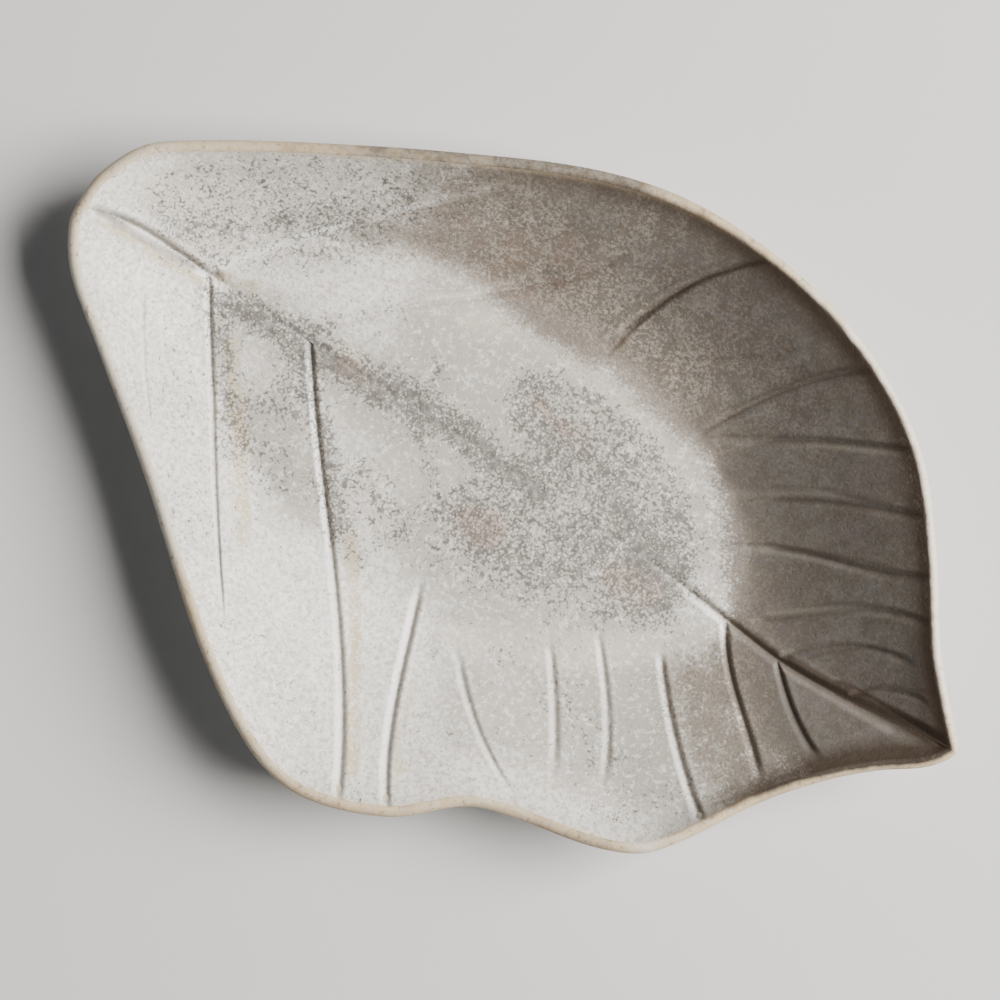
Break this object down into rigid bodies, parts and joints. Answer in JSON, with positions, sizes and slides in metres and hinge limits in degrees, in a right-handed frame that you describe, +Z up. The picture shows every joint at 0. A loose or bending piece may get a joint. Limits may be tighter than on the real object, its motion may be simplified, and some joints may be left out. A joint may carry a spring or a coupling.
{
  "type": "leaf-shaped plate",
  "caption": "Shallow leaf-shaped stoneware plate with impressed veins, a flat oval well, a rounded bare lip and an oval foot ring.",
  "frame": {"origin": "on the table, under the middle of the plate's bounding box", "axes": "+X along the midrib from the stem end to the tip, +Y to the leaf's narrower side, +Z up"},
  "size_m": [0.2398, 0.165, 0.0291],
  "materials": {
    "bare_clay": "matt tan fired stoneware clay, left bare at the lip",
    "top_glaze": "satin warm off-white glaze with fine dark specks and taupe mottling",
    "under_glaze": "satin warm off-white glaze",
    "foot_clay": "matt tan fired stoneware clay, wiped clean of glaze"
  },
  "bodies": {
    "root": {"clay_slab": "bare_clay", "top_glaze": "top_glaze", "under_glaze": "under_glaze", "foot_ring": "foot_clay"}
  },
  "joints": []
}
